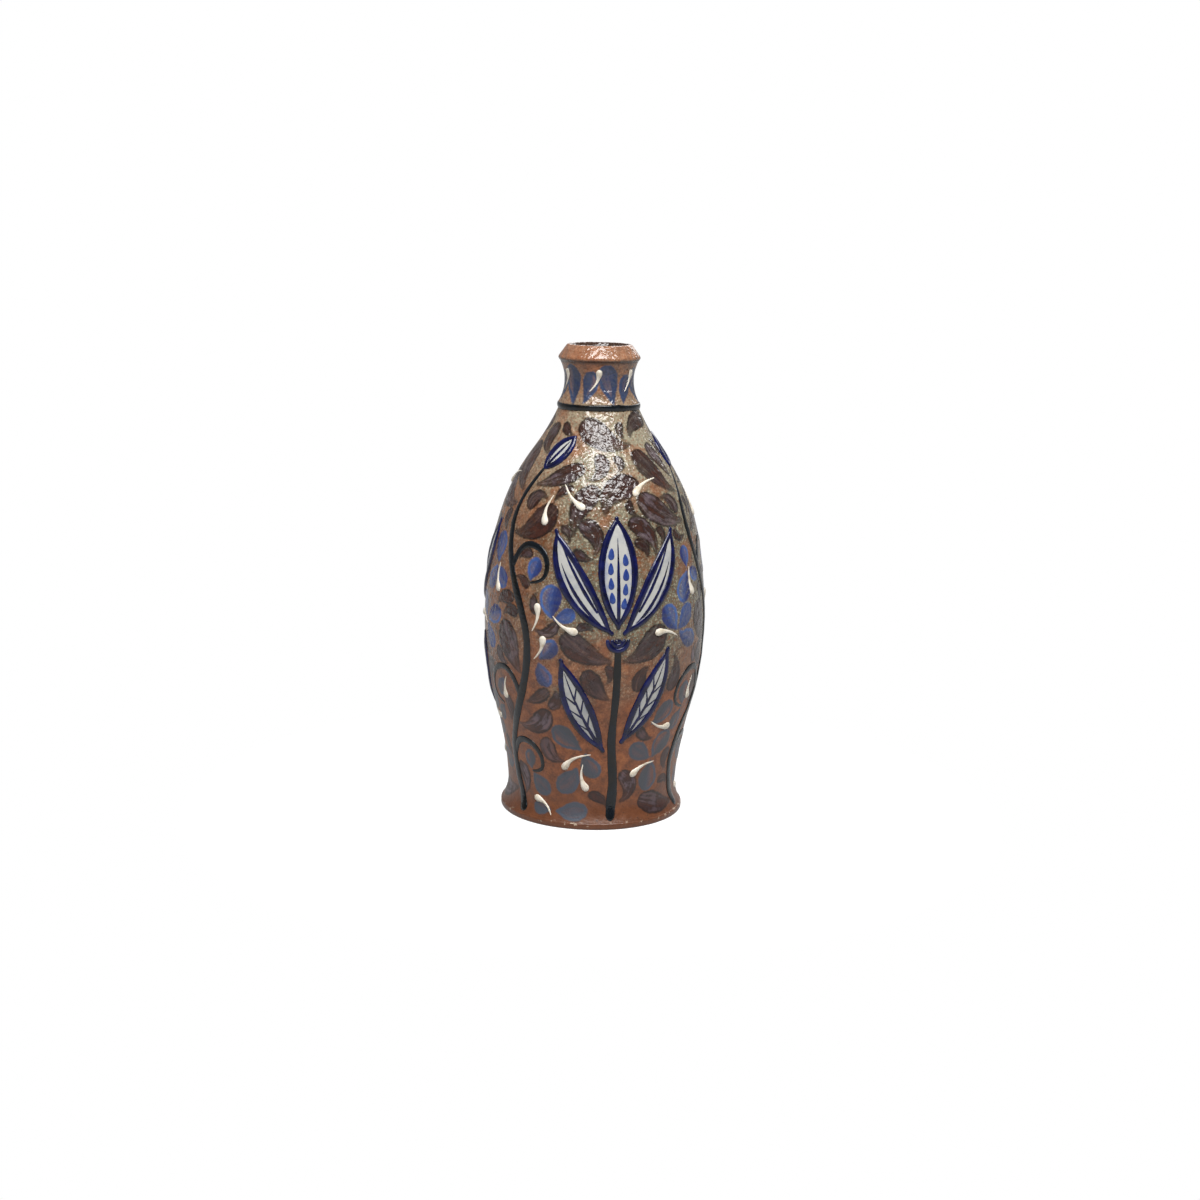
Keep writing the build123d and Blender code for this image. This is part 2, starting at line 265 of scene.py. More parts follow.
# Where each colour shows: what that depends on, its value at the start and the end, and the share there
soft = "SMOOTHSTEP"
low_wash, full_wash = edge_depth - wash_edge, edge_depth + wash_edge
shares = {}
for name, source, start, end, at_start, at_end, *easing in (
        ("mottle", noise["mottle"], 0.3, 0.7, 0, 1),
        ("rust grain", noise["grain"], 0.52, 0.64, 0, 0.35),
        ("rust fleck", noise["grain"], 0.46, 0.36, 0, 0.3),
        ("lip", height, 172 * MM, 175 * MM, 0, 0.4),
        ("foot", height, 28 * MM, 3 * MM, 0, 0.8),
        ("thick ash", noise["patch"], 0.48, 0.63, 1, 0.35, soft),
        ("away from the flame", sideways, -8 * MM, -34 * MM, 1, 0.35),
        ("below the neck", height, 148 * MM, 170 * MM, 1, 0.26, soft),
        ("high ash", drifted, 105 * MM, 150 * MM, 0, 0.55),
        ("ash fleck", noise["grain"], 0.46, 0.36, 0, 0.75),
        ("ash grain", noise["grain"], 0.52, 0.64, 0, 0.7),
        # A thin band under the lip's ridge is darkened with the dark speck colour: painted shade under
        # the overhang.
        ("under the ridge", height, 172.8 * MM, 174.0 * MM, 0, 0.75),
        ("below the ridge", height, 175.0 * MM, 174.4 * MM, 0, 1),
        # Near the axis, inside the mouth and down the bore, the glaze is darkened: painted shade in the
        # hollow.
        ("mouth", from_axis, 11.9 * MM, 11.1 * MM, 0, 0.9),
        ("speck", noise["speck"], 0.6, 0.7, 0, 0.7),
        ("in leaf", leaf["inside"], low_wash, full_wash, 0, 1, soft),
        ("leaf rim", leaf["inside"], 1.1, 2.4, 1, 0, soft),
        ("leaf core", leaf["inside"], 1.1, 2.4, 0, 1, soft),
        ("leaf red", patchy, 1.0, 0.82, 0, 0.6, soft),
        ("leaf milky", patchy, 0.92, 1.18, 0, 1, soft),
        ("leaf body", leaf["along"], 0, 0.5, 0.7, 0.95),
        ("leaf streaks", leaf["streak"], 0.5, 0.72, 1, 0.68),
        ("in petal", petal["inside"], low_wash, full_wash, 0, 1, soft),
        ("petal pale", thinness, 0.5, 1.3, 0, 1),
        ("petal low", above, 0, 1, 0.85, 0.05),
        ("petal on neck", height, 150 * MM, 158 * MM, 0, 0.75),
        ("petal body", core_thin, 0.75, 1.3, 0.95, 0.3),
        # Pale specks in a band round the foot's edge: wear, and a painted highlight along that edge.
        ("foot edge", height, 2.0 * MM, 3.2 * MM, 1, 0),
        ("over the ring", height, 1.2 * MM, 2.0 * MM, 0, 1),
        ("rubbed", noise["rub"], 0.6, 0.66, 0, 0.8),
        ("facing down", facing.outputs["Z"], -0.8, -0.95, 0, 1),
        ("at the floor", height, 2.0 * MM, 1.6 * MM, 0, 1),
        ("gloss", above, 0, 1, 0.34, 0.14),
        ("peel depth", above, 0, 1, 0.14, 0.72)):
    shares[name] = add(tree, "ShaderNodeMapRange", {
        "Value": source, "From Min": start, "From Max": end, "To Min": at_start, "To Max": at_end,
    }, interpolation_type=easing[0] if easing else "LINEAR")
for name, first, *others in (
        ("ash", above, shares["thick ash"], shares["away from the flame"], shares["below the neck"]),
        ("ridge line", shares["under the ridge"], shares["below the ridge"]),
        ("leaf haze", shares["leaf milky"], shares["leaf core"], leaf["tone"]),
        ("leaf", shares["in leaf"], shares["leaf body"], shares["leaf streaks"]),
        ("petal", shares["in petal"], shares["petal body"]),
        ("worn", shares["foot edge"], shares["over the ring"], shares["rubbed"]),
        ("bare", shares["facing down"], shares["at the floor"])):
    for other in others:
        first = add(tree, "ShaderNodeMath", (first, other), operation="MULTIPLY")
    shares[name] = first

# The colours, each laid over a ground, and then the whole glaze over the rust of the thin places
rust_ramp = add(tree, "ShaderNodeValToRGB", {"Fac": shares["mottle"]})
rust_ramp.color_ramp.elements[0].color = rust_dark
rust_ramp.color_ramp.elements[1].color = rust_bright
rust_ramp.color_ramp.elements.new(0.5).color = rust
rust_layers = (
    ("rust grain", rust_dark), ("rust fleck", rust_bright), ("lip", copper), ("foot", rust_dark))
ash_layers = (
    ("mottle", ash_pale), ("high ash", ash_sand), ("ash fleck", ash_sand), ("ash grain", ash_grain))
leaf_layers = (("leaf red", leaf_red), ("leaf rim", leaf_rim), ("leaf haze", leaf_haze))
petal_layers = (("petal pale", petal_pale), ("petal low", petal_grey), ("petal on neck", petal_slate))
colours = {}
for name, ground, layers in (
        ("rust", rust_ramp.outputs["Color"], rust_layers), ("ash", ash_dark, ash_layers),
        ("leaf", leaf_brown, leaf_layers), ("petal", petal_deep, petal_layers)):
    for share, colour in layers:
        ground = add(tree, "ShaderNodeMix", {"Factor": shares[share], "A": ground, "B": colour},
                     data_type="RGBA")
    colours[name] = ground
glaze = colours["rust"]
# Among these layers are painted shade inside the mouth and under the lip's ridge, and pale specks on the
# foot's edge that are wear and a painted highlight.
for share, colour in (
        ("ash", colours["ash"]), ("ridge line", iron_speck_and_shade), ("mouth", iron_speck_and_shade),
        ("speck", iron_speck_and_shade), ("leaf", colours["leaf"]), ("petal", colours["petal"]),
        ("worn", pale_wear_and_highlight), ("bare", bare_clay)):
    glaze = add(tree, "ShaderNodeMix", {"Factor": shares[share], "A": glaze, "B": colour},
                data_type="RGBA")
tree.links.new(glaze.outputs[2], shader.inputs["Base Color"])

# Gloss above, satin below, dry underneath, and the glaze's skin in true heights in mm
built_up = add(tree, "ShaderNodeMath", (shares["in leaf"], shares["in petal"]), operation="MAXIMUM")
matt, relief = shares["gloss"], 0.0
for where, amount in ((shares["mottle"], mottle_matt), (shares["bare"], clay_matt)):
    matt = add(tree, "ShaderNodeMath", (where, amount, matt), operation="MULTIPLY_ADD")
for where, amount in ((noise["peel"], shares["peel depth"]), (noise["pit"], pit_depth),
                      (built_up, wash_depth)):
    relief = add(tree, "ShaderNodeMath", (where, amount, relief), operation="MULTIPLY_ADD")
tree.links.new(matt.outputs[0], shader.inputs["Roughness"])
bump = add(tree, "ShaderNodeBump", {"Height": relief, "Distance": MM, "Strength": 1.0})
tree.links.new(bump.outputs[0], shader.inputs["Normal"])


def eased(corners, steps=6):
    """A section through corners (radius, height, rounding), each rounded off, as radius + height j."""
    places = [complex(radius, height) for radius, height, rounding in corners]
    points = []
    for i, (radius, height, rounding) in enumerate(corners):
        corner = places[i]
        if rounding == 0:
            points.append(corner)
            continue
        before = places[i - 1] - corner
        after = places[(i + 1) % len(places)] - corner
        start = corner + before / abs(before) * rounding
        end = corner + after / abs(after) * rounding
        for t in np.linspace(0, 1, steps):
            points.append((1 - t) ** 2 * start + 2 * t * (1 - t) * corner + t ** 2 * end)
    return points


def thrown(name, section, node):
    """A clay piece in place of its node, turned on the wheel from a section of radius + height j."""
    start = drawn([(point.real, 0, point.imag) for point in section])
    return shaped(wheel, name, start, {"Steps": wheel_steps, "Coat": stoneware}, node)


thrown("foot_slab", eased((
    (0, foot_recess_depth, 0),
    (foot_radius - foot_ring_width - foot_recess_depth, foot_recess_depth, recess_round),
    (foot_radius - foot_ring_width, 0, ring_round),
    (foot_radius, 0, foot_edge_round),
    (foot_radius, foot_edge_height, foot_edge_round),
    (boss_radius, foot_edge_height, seat_round),
    (boss_radius, base_thickness, boss_round),
    (0, base_thickness, 0),
)), "foot_disc")

# Wall: belly and shoulder, thrown in one piece from the foot's edge to the root of the neck and
# left hollow. Its outside is a row of arcs that run into one another.
wall_thickness = 4.5
flare_edge = complex(35.0, foot_edge_height)
waist = complex(32.8, 11.5)
rise = complex(37.6, 40.0)
belly = complex(42.4, 77.0)
shoulder = complex(37.1, 115.0)
slope = complex(24.8, 140.0)
neck_root = complex(15.2, 156.0)
bore_radius = 10.0
wall_step = 0.75
inside_stride = 8


def arc(start, middle, end, step):
    """Points along the round arc through three points, a step apart, and its heading at the end."""
    w = (end - start) / (middle - start)
    centre = start + (middle - start) * (w - abs(w) ** 2) / (2j * w.imag)
    spoke = start - centre
    sweep = np.angle((middle - centre) / spoke) + np.angle((end - centre) / (middle - centre))
    count = max(2, math.ceil(abs(sweep * spoke) / step))
    points = centre + spoke * np.exp(1j * sweep * np.linspace(0, 1, count + 1))
    heading = 1j * np.sign(sweep) * (end - centre) / abs(spoke)
    return points, heading


def arc_onward(start, heading, end, step):
    """The arc that leaves a point along a heading and reaches the end."""
    chord = end - start
    turn = np.angle(chord / heading)
    middle = (start + end) / 2 - 1j * chord / 2 * math.tan(turn / 2)
    return arc(start, middle, end, step)


belly_arc, heading = arc(rise, belly, shoulder, wall_step)
shoulder_arc, heading = arc_onward(shoulder, heading, slope, wall_step)
crown_arc, heading = arc_onward(slope, heading, neck_root, wall_step)
heading = arc(shoulder, belly, rise, wall_step)[1]
rise_arc, heading = arc_onward(rise, heading, waist, wall_step)
flare_arc, heading = arc_onward(waist, heading, flare_edge, wall_step)
wall_outside = np.concatenate((
    flare_arc[:0:-1], rise_arc[:0:-1], belly_arc[:-1], shoulder_arc[:-1], crown_arc))
inward = 1j * np.gradient(wall_outside)
wall_inside = (wall_outside + wall_thickness * inward / abs(inward))[len(flare_arc):-len(crown_arc)]
well_radius = waist.real - wall_thickness
wall = thrown("wall", np.concatenate((
    wall_outside,
    [complex(bore_radius, neck_root.imag)],
    wall_inside[::-inside_stride],
    [complex(well_radius, waist.imag), complex(well_radius, foot_edge_height)],
    wall_outside[:1],
)), "body_wall")

# Neck: a short waisted collar of the same clay, thrown apart and luted on the shoulder.
# Its straight foot carries the dark band.
band_width = 2.3
neck_waist = complex(13.0, 166.5)
lip_seat = complex(14.9, 174.0)
neck_start = neck_root + band_width * 1j
neck_step, bore_rows = 0.6, 8
neck_arc = arc(neck_start, neck_waist, lip_seat, neck_step)[0]
neck = thrown("neck", np.concatenate((
    [complex(bore_radius, neck_root.imag), neck_root],
    neck_arc,
    [complex(bore_radius, z) for z in np.linspace(lip_seat.imag, neck_root.imag, bore_rows)],
)), "neck_collar")

# Lip: a ring with a soft ridge and a bevel that slopes up to the open mouth. The glaze runs
# thin on it, so that it shows copper-brown.
lip_ridge = (15.9, 174.9, 1.1)
rim_outer = (12.2, 180.0, 0.54)
rim_inner = (11.2, 180.0, 0.45)
rim_bevel = (bore_radius, 178.4, 0.5)
lip_bore = (bore_radius, lip_seat.imag, 0)
lip_foot = (lip_seat.real, lip_seat.imag, 0)
lip_corners = (lip_bore, lip_foot, lip_ridge, rim_outer, rim_inner, rim_bevel, lip_bore)
thrown("lip", eased(lip_corners), "lip_ring")

# Dark band: black slip trailed in one turn over the joint of neck and shoulder.
# The nozzle's pressure wavers, so its width does too.
band_flatness = 0.4
band_drift, band_swell, band_ripple = 0.12, 0.08, 0.05
band_steps = 180
slip_sides, skin_size = 14, 1.4
outside_height = np.concatenate((wall_outside.imag, neck_arc.imag))
outside_radius = np.concatenate((wall_outside.real, neck_arc.real))
outside_slope = np.gradient(outside_radius, outside_height)

# Trailed slip: a line on the clay becomes a bead that is flat underneath and round on top,
# as wide as the line says at each point.
trail = new_tree("trailed_slip", {**piece_takes, "Flatness": "Float", "Sides": "Int"}, piece_gives)
given = add(trail, "NodeGroupInput")
line = add(trail, "GeometryNodeMeshToCurve", {"Mesh": given.outputs["Geometry"]})
clay_normal = add(trail, "GeometryNodeInputNamedAttribute", {"Name": "clay_normal"},
                  data_type="FLOAT_VECTOR")
standing = add(trail, "GeometryNodeSetCurveNormal", {"Curve": line, "Normal": clay_normal}, mode="FREE")
bead_round = add(trail, "GeometryNodeCurvePrimitiveCircle",
                 {"Resolution": given.outputs["Sides"], "Radius": 1.0})
bead_scale = add(trail, "ShaderNodeCombineXYZ", {"X": given.outputs["Flatness"], "Y": 1.0, "Z": 1.0})
bead = add(trail, "GeometryNodeTransform", {"Geometry": bead_round, "Scale": bead_scale})
half_width = add(trail, "GeometryNodeInputNamedAttribute", {"Name": "half_width"}, data_type="FLOAT")
beads = add(trail, "GeometryNodeCurveToMesh",
            {"Curve": standing, "Profile Curve": bead, "Scale": half_width, "Fill Caps": True})
coated(trail, given, beads)


def on_clay(points, turn, lift=0.0):
    """Drawn points, right + up j, pressed on the clay at a turn in degrees: places in mm and normals."""
    right, up = points.real, points.imag
    radius = np.interp(up, outside_height, outside_radius)
    leaning = np.interp(up, outside_height, outside_slope)
    angle = math.radians(turn) + np.arcsin(np.clip(right / radius, -0.99, 0.99))
    normal = np.stack((np.sin(angle), -np.cos(angle), -leaning), 1)
    normal /= np.linalg.norm(normal, axis=1)[:, None]
    place = np.stack((radius * np.sin(angle), -radius * np.cos(angle), up), 1)
    return place + lift * normal, normal


def trailed_piece(name, lines, flatness, material, node=None, ring=False):
    """One piece of beads from lines, each its places, normals and half widths, or from a closed ring."""
    edges, count = [], 0
    for place, normal, half in lines:
        points = range(count, count + len(place))
        edges += zip(points[:-1], points[1:])
        if ring:
            edges.append((points[-1], points[0]))
        count += len(place)
    places, normals, halves = (np.concatenate([line[i] for line in lines]) for i in range(3))
    start = drawn(places, edges, clay_normal=normals, half_width=halves * MM)
    values = {"Flatness": flatness, "Sides": slip_sides, "Coat": material}
    shaped(trail, name, start, values, node)


def slip_material(name, codes, roughness, cloud_size, skin_depth):
    """A glossy slip or enamel: colours that drift from thin to thick, and a slightly uneven skin."""
    material = bpy.data.materials.new(name)
    material.use_nodes = True
    nodes = material.node_tree
    shader = nodes.nodes["Principled BSDF"]
    shader.inputs["Roughness"].default_value = roughness
    here = add(nodes, "ShaderNodeTexCoord").outputs["Object"]
    drift = add(nodes, "ShaderNodeTexNoise",
                {"Vector": here, "Scale": 1 / (cloud_size * MM), "Detail": 3.0, "Roughness": 0.6})
    spread = add(nodes, "ShaderNodeMapRange", {"Value": drift, "From Min": 0.3, "From Max": 0.7})
    ramp = add(nodes, "ShaderNodeValToRGB", {"Fac": spread})
    stops = ramp.color_ramp.elements
    stops[0].color, stops[1].color = linear(codes[0]), linear(codes[-1])
    for i, code in enumerate(codes[1:-1], 1):
        stops.new(i / (len(codes) - 1)).color = linear(code)
    nodes.links.new(ramp.outputs["Color"], shader.inputs["Base Color"])
    skin = add(nodes, "ShaderNodeTexNoise",
               {"Vector": here, "Scale": 1 / (skin_size * MM), "Detail": 2.0})
    bump = add(nodes, "ShaderNodeBump", {"Height": skin, "Distance": skin_depth * MM, "Strength": 1.0})
    nodes.links.new(bump.outputs[0], shader.inputs["Normal"])
    return material


# Black slip: clay stained with iron and manganese, glossy where it is thick, brown where it is thin
slip_brown, slip_black, slip_blue = "#18130f", "#070909", "#0e151d"
black_codes = (slip_brown, slip_black, slip_blue, slip_black)
black_slip = slip_material("iron_black_slip", black_codes, 0.22, 6.0, 0.16)
turns = np.linspace(0, 2 * math.pi, band_steps, endpoint=False)
band_height = neck_root.imag + band_width / 2 + band_drift * np.sin(3 * turns + 1)
band_normal = np.stack((np.sin(turns), -np.cos(turns), 0 * turns), 1)
band_place = neck_root.real * band_normal + band_height[:, None] * (0, 0, 1)
band_half = band_width / 2 * (1 + band_swell * np.sin(5 * turns) + band_ripple * np.sin(11 * turns + 2))
trailed_piece("dark_band", [(band_place, band_normal, band_half)], band_flatness, black_slip,
              "neck_band", ring=True)

# Stems and vines: black slip lines that climb from the foot on three sides, thick at the foot and
# thin at the tips. Each vine throws three curls and ends under a bud.
sides = {"front": 12.0, "right": 132.0, "left": 252.0}
vine_turn = -60.0
blossom_height = 76.0
vine_flatness = 0.27
vine_start = 3.4
calyx_drop = 5.0
stem_halves = (1.9, 1.7, 1.45, 1.3)
vine_halves = (1.75, 1.75, 1.7, 1.65, 1.5, 0.7)
tendril_halves = (1.3, 1.3, 1.2, 0.9, 0.4)
lift_up = blossom_height * 1j
stem_points = (vine_start * 1j, 1.0 + 18j, -0.3 + 34j, 52j, lift_up - calyx_drop * 1j)
vine_points = (vine_start * 1j, -6.5 + 24j, 3.5 + 50j, 8.5 + 75j, -1 + 99j, -5 + 118j, 1.7 + 135.2j)
tendrils = (
    (-6.5 + 24j, -0.5 + 32j, 7.5 + 29j, 8.0 + 21.5j, 3.5 + 20.0j),
    (3.5 + 50j, -3.0 + 60j, -12.5 + 57j, -13.5 + 48j, -8.0 + 45j),
    (-1.0 + 99j, 5.0 + 108j, 13.5 + 105j, 14.0 + 96.5j, 9.0 + 94.5j),
)
line_step, curl_step = 0.7, 0.5
waver_lengths = np.array((2.1, 3.7, 6.3))
end_steps, least_step, least_end, end_blunt = 6, 0.03, 0.3, 0.03
hand_draws = np.random.default_rng(7)


def brush_path(points, step):
    """A smooth path through the points, as a cubic spline sampled evenly."""
    points = np.array(points)
    moves = np.diff(points)
    spans = abs(moves)
    at = np.concatenate(([0], np.cumsum(spans)))
    count = len(points)
    system, bends = np.eye(count), np.zeros(count, complex)
    bends[1:-1] = 6 * np.diff(moves / spans)
    for i in range(1, count - 1):
        system[i, i - 1:i + 2] = spans[i - 1], 2 * (spans[i - 1] + spans[i]), spans[i]
    curl = np.linalg.solve(system, bends)
    s = np.linspace(0, at[-1], math.ceil(at[-1] / step) + 1)
    k = np.clip(np.searchsorted(at, s, side="right") - 1, 0, count - 2)
    a = (at[k + 1] - s) / spans[k]
    b = 1 - a
    return (a * points[k] + b * points[k + 1]
            + ((a ** 3 - a) * curl[k] + (b ** 3 - b) * curl[k + 1]) * spans[k] ** 2 / 6)


def brush_line(path, turn, halves, round_ends=(True, True), lift=0.0, waver=0.08):
    """A brush line on the clay: half widths spread along the path, rounded ends and a wavering hand."""
    s = np.concatenate(([0], np.cumsum(abs(np.diff(path)))))
    rounding = max(halves[0], least_end), max(halves[-1], least_end)
    ends = 1 - np.cos(np.linspace(0, math.pi / 2, end_steps))
    samples = np.unique(np.concatenate((s, rounding[0] * ends, s[-1] - rounding[1] * ends)))
    samples = samples[np.concatenate(([True], np.diff(samples) > least_step))]
    path = np.interp(samples, s, path)
    half = np.interp(samples, np.linspace(0, s[-1], len(halves)), halves)
    phases = hand_draws.uniform(0, 2 * math.pi, 3)
    half = half * (1 + waver * np.sin(samples[:, None] / waver_lengths + phases).sum(1) / 2)
    for end, distance, size in zip(round_ends, (samples, s[-1] - samples), rounding):
        if end:
            inward = np.clip(distance / size, end_blunt, 1)
            half = half * np.sqrt(1 - (1 - inward) ** 2)
    return *on_clay(path, turn, lift), half


drawn_lines = []
for side, turn in sides.items():
    stem_line = brush_line(brush_path(stem_points, line_step), turn, stem_halves, (True, False))
    trailed_piece(side + "_stem_line", [stem_line], vine_flatness, black_slip,
                  side + "_stem")
    vine_lines = [brush_line(brush_path(vine_points, line_step), turn + vine_turn, vine_halves)]
    for points in tendrils:
        vine_lines.append(brush_line(brush_path(points, curl_step), turn + vine_turn, tendril_halves))
    trailed_piece(side + "_vine_line", vine_lines, vine_flatness, black_slip,
                  side + "_vine")
    drawn_lines += [stem_line, *vine_lines]

# White enamel: opaque tin-white glaze filled into the petals, the leaves and the bud. It pools to
# a low cushion, a little blue and thinner at its edges.
enamel_rise, enamel_foot = 0.3, 0.12
outline_width = 2.4
middle_petal = (0 + 3j, 7.4 + 22j, 0 + 44j)
side_petal_outer = (1.8 + 1j, 17.5 + 12j, 21.5 + 39j)
side_petal_inner = (1.8 + 1j, 10.0 + 20j, 21.5 + 39j)
leaf_outer = (2.9 - 42j, 17.0 - 28j, 20.5 - 5j)
leaf_inner = (2.9 - 42j, 8.0 - 24j, 20.5 - 5j)
left_leaf_drop = 3.5j
bud_place, bud_lean = 5.0 + 141.0j, math.radians(-28.0)
bud_edge = (-7.0j, 4.2 + 0j, 7.0j)
field_steps, pad_columns, pad_end_rows = 48, 15, 3
least_span = 0.05


def rails(first, second, place=0j, flip=False, lean=0.0):
    """The two edges of a petal or leaf as points that face each other, drawn and then put in place."""
    edges = []
    for start, middle, end in (first, second):
        points = arc(start, middle, end, abs(end - start) / field_steps)[0]
        at = np.linspace(0, len(points) - 1, field_steps + 1)
        points = np.interp(at, range(len(points)), points)
        points = -points.conj() if flip else points
        edges.append(points * np.exp(1j * lean) + place)
    return edges


def mirrored(edge):
    """An edge flipped left to right."""
    return [-point.conjugate() for point in edge]


def inset(edges, distance):
    """Two facing edges moved towards each other, no further than where they meet."""
    first, second = edges
    across = second - first
    gap = np.maximum(abs(across), 1e-6)
    move = across / gap * np.minimum(distance, gap / 2)
    return first + move, second - move


petals = {
    "middle": rails(middle_petal, mirrored(middle_petal), lift_up),
    "right": rails(side_petal_outer, side_petal_inner, lift_up),
    "left": rails(side_petal_outer, side_petal_inner, lift_up, flip=True),
}
leaves = {
    "right": rails(leaf_outer, leaf_inner, lift_up),
    "left": rails(leaf_outer, leaf_inner, lift_up - left_leaf_drop, flip=True),
}
bud = rails(bud_edge, mirrored(bud_edge), bud_place, lean=bud_lean)

# Tin-white enamel: dense and glossy, blue where cobalt bleeds in from the lines round it
enamel_pool, enamel_white, enamel_blue = "#abacae", "#bdbcb7", "#828cae"
bleed_size, bleed_reach = 2.2, 0.9
bleed_start, bleed_full, bleed_most = 1.0, 1.5, 0.8
white_codes = (enamel_pool, enamel_white, enamel_white)
white_enamel = slip_material("tin_white_enamel", white_codes, 0.2, 5.0, 0.2)
nodes = white_enamel.node_tree
enamel_colour = nodes.nodes["Principled BSDF"].inputs["Base Color"]
rim_share = add(nodes, "ShaderNodeAttribute", attribute_name="pool_edge").outputs["Fac"]
here = add(nodes, "ShaderNodeTexCoord").outputs["Object"]
bleed = add(nodes, "ShaderNodeTexNoise", {"Vector": here, "Scale": 1 / (bleed_size * MM), "Detail": 2.0})
bleed_edge = add(nodes, "ShaderNodeMath", (bleed, bleed_reach, rim_share), operation="MULTIPLY_ADD")
bleed_share = add(nodes, "ShaderNodeMapRange", {
    "Value": bleed_edge, "From Min": bleed_start, "From Max": bleed_full, "To Max": bleed_most,
}, interpolation_type="SMOOTHSTEP")
plain_white = enamel_colour.links[0].from_socket
bled = add(nodes, "ShaderNodeMix", {"Factor": bleed_share, "A": plain_white, "B": linear(enamel_blue)},
           data_type="RGBA")
nodes.links.new(bled.outputs[2], enamel_colour)

# Pooled enamel: a flat cushion that follows the sway of the wall under it
pool_tree = new_tree("pooled_enamel", piece_takes, piece_gives)
given = add(pool_tree, "NodeGroupInput")
joined = add(pool_tree, "GeometryNodeMergeByDistance",
             {"Geometry": given.outputs["Geometry"], "Distance": weld_gap * MM})
coated(pool_tree, given, joined)


def white_fields(turn):
    """The edges and turn of each white field on one side: the blossom's, its leaves' and the bud's."""
    return [(edges, turn) for edges in (*petals.values(), *leaves.values())] + [(bud, turn + vine_turn)]


def enamel_pads(name, fields, node):
    """Low closed cushions of enamel, each between the two edges of a field at a turn."""
    across = np.linspace(-1, 1, pad_columns)
    swell = np.sqrt(np.clip(1 - across ** 4, 0, 1))
    width = pad_columns
    verts, faces, pool = [], [], []
    for edges, turn in fields:
        first, second = inset(edges, outline_width / 2)
        middle, span = (first + second) / 2, second - first
        if (span.conj() * np.gradient(middle)).imag.sum() < 0:
            span = -span
        wide = np.flatnonzero(abs(span) > least_span)
        rows = range(wide[0] - 1, wide[-1] + 2)
        start = len(verts)
        for i in rows:
            close = min(i - rows[0], rows[-1] - i) / pad_end_rows
            place, normal = on_clay(middle[i] + span[i] / 2 * across, turn)
            height = (enamel_rise + enamel_foot) * swell * min(1.0, close) - enamel_foot
            verts += list(place + normal * height[:, None])
            pool += list(np.maximum(abs(across), 1 - min(1.0, close / 2)))
        for i in range(len(rows) - 1):
            row = start + i * width
            for j in range(row, row + width - 1):
                faces.append((j, j + 1, j + width + 1, j + width))
            faces.append((row, row + width, row + 2 * width - 1, row + width - 1))
    start = drawn(verts, faces=faces, pool_edge=pool)
    shaped(pool_tree, name, start, {"Coat": white_enamel}, node)


for side, turn in sides.items():
    enamel_pads(side + "_white_fields", white_fields(turn), side + "_enamel")

# Cobalt outlines: dark blue slip trailed round each white field in two strokes that meet at its
# ends, and the cup under the petals. It dries to a glossy bead that is nearly black where it is thick.
outline_flatness = 0.62
outline_halves = (0.8, 1.2, 1.3, 1.2, 0.8)
calyx_half, calyx_step = 4.5, 0.5
calyx_halves = (0.7, 0.95, 0.95, 0.95, 0.7)
calyx_rings = (0.86, 0.5, 0.15)
calyx_sink = 0.6j
cobalt_slip = slip_material("cobalt_slip", ("#080a24", "#0c103e", "#131a54"), 0.2, 4.0, 0.1)
cup = arc(complex(-calyx_half, 0), complex(0, -calyx_drop), complex(calyx_half, 0), calyx_step)[0]
for side, turn in sides.items():
    lines = []
    for edges, edge_turn in white_fields(turn):
        for edge in inset(edges, outline_width / 2):
            lines.append(brush_line(edge, edge_turn, outline_halves))
    for share in calyx_rings:
        lines.append(brush_line(lift_up - calyx_sink + cup * share, turn, calyx_halves))
    trailed_piece(side + "_blue_outline", lines, outline_flatness, cobalt_slip,
                  side + "_outline")
    drawn_lines += lines

# Veins: thinner cobalt lines drawn on the white before the last firing, and short dabs of a paler
# cobalt wash on the middle petal. They lie on the enamel and hardly stand out from it.
vein_flatness, vein_lift = 0.3, 0.24
vein_steps = 24
petal_lines = ((0.36, 0.14, 0.72), (0.66, 0.24, 0.84))
leaf_ribs, rib_length, rib_ends = (0.26, 0.4, 0.54), 0.12, (0.2, 0.8)
dab_rows, dab_length, dab_columns = (0.2, 0.32, 0.44, 0.56), 0.1, (0.31, 0.69)
far_side_start = 0.05
midline, petal_midline, leaf_midline = (0.5, 0.5), (0.08, 0.8), (0.08, 0.86)
petal_midline_halves, leaf_midline_halves = (0.75, 0.7, 0.5, 0.2), (0.7, 0.65, 0.5, 0.2)
petal_line_halves, rib_halves = (0.4, 0.7, 0.6, 0.2), (0.5, 0.4, 0.15)
petal_dab_halves = (0.9, 1.15, 0.9, 0.25)
cobalt_wash = slip_material("cobalt_wash", ("#1d3074", "#3b5394"), 0.2, 2.0, 0.08)


def vein(edges, turn, shares, reach, halves):
    """A stroke in a field, from one share of the way across to another, over a reach of its length."""
    at = np.linspace(*reach, vein_steps) * field_steps
    first, second = (np.interp(at, range(field_steps + 1), edge) for edge in edges)
    path = first + (second - first) * np.linspace(*shares, vein_steps)
    return brush_line(path, turn, halves, lift=vein_lift)


